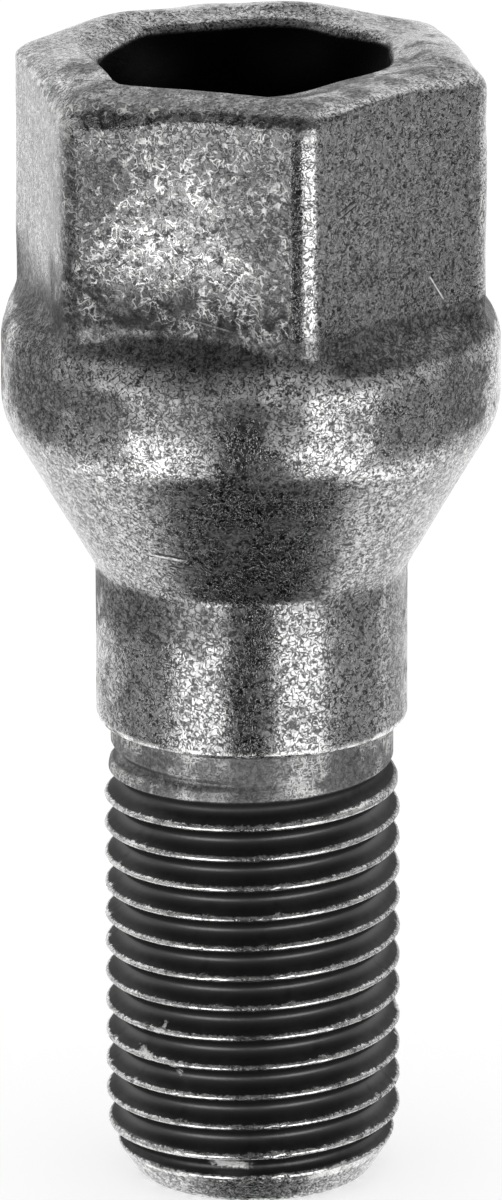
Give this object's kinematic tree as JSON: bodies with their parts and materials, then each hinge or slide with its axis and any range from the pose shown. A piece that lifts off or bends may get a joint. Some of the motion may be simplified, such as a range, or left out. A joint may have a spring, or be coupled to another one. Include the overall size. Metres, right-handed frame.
{
  "type": "wheel bolt",
  "caption": "Forged wheel bolt with a hollow hexagon head, a round collar, a cone seat, a plain shank and a fine right-hand thread.",
  "frame": {"origin": "centre of the flat thread end, which the bolt stands on", "axes": "+Z along the bolt's axis, from the thread end to the head; -Y towards the picture's viewer"},
  "size_m": [0.0198, 0.0198, 0.0465],
  "materials": {
    "forged_steel": "dark grey forged and phosphated steel, worn bright on edges and thread crests"
  },
  "bodies": {
    "root": {"wheel_bolt": "forged_steel"}
  },
  "joints": []
}
